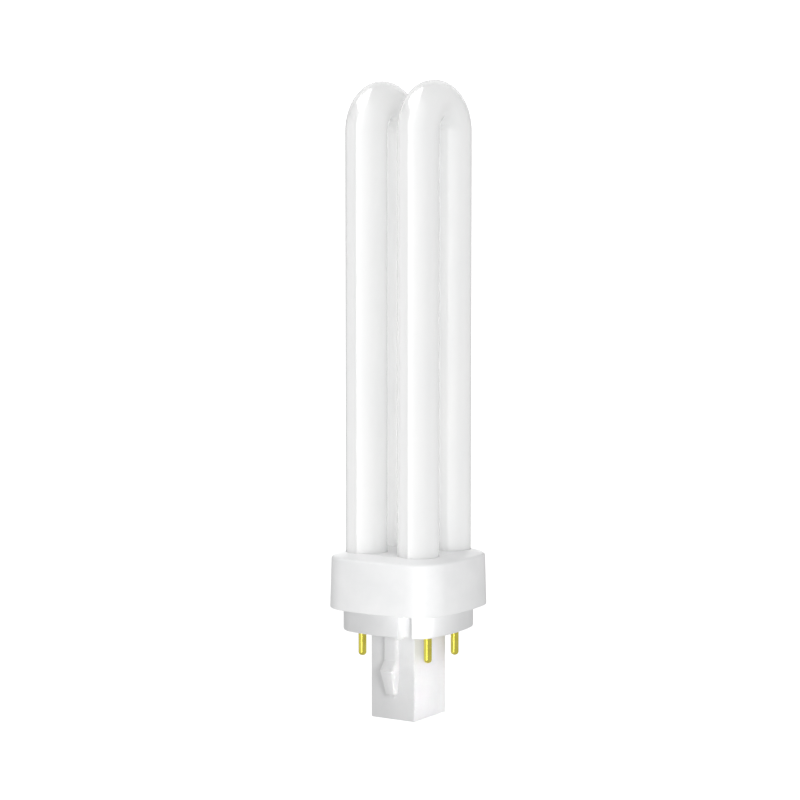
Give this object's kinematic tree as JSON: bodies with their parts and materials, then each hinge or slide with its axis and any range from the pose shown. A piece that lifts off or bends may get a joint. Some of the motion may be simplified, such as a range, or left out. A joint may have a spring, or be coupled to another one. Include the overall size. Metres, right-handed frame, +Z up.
{
  "type": "plug-in compact fluorescent lamp",
  "caption": "White double-U fluorescent tube in a square moulded collar, with brass contact pins beside a rectangular latching plug post.",
  "frame": {"origin": "middle of the free end of the plug post, which the lamp stands on", "axes": "+Z up along the lamp's axis towards the bends; the latches face -Y and +Y, the contact pins stand beside the post's -X and +X faces"},
  "size_m": [0.036, 0.036, 0.1654],
  "materials": {
    "phosphor_glass": "glossy glass, white from the phosphor inside",
    "white_plastic": "satin moulded",
    "pin_brass": "bright turned",
    "lead_nickel": "drawn wire",
    "capping_cement": "matt"
  },
  "bodies": {
    "root": {"discharge_tube": "phosphor_glass", "collar": "white_plastic", "cement": "capping_cement", "base_plug": "white_plastic", "contact_pin_front_left": "pin_brass", "contact_pin_front_right": "pin_brass", "contact_pin_rear_left": "pin_brass", "contact_pin_rear_right": "pin_brass", "lead_wire_front_left": "lead_nickel", "lead_wire_front_right": "lead_nickel", "lead_wire_rear_left": "lead_nickel", "lead_wire_rear_right": "lead_nickel"}
  },
  "joints": []
}
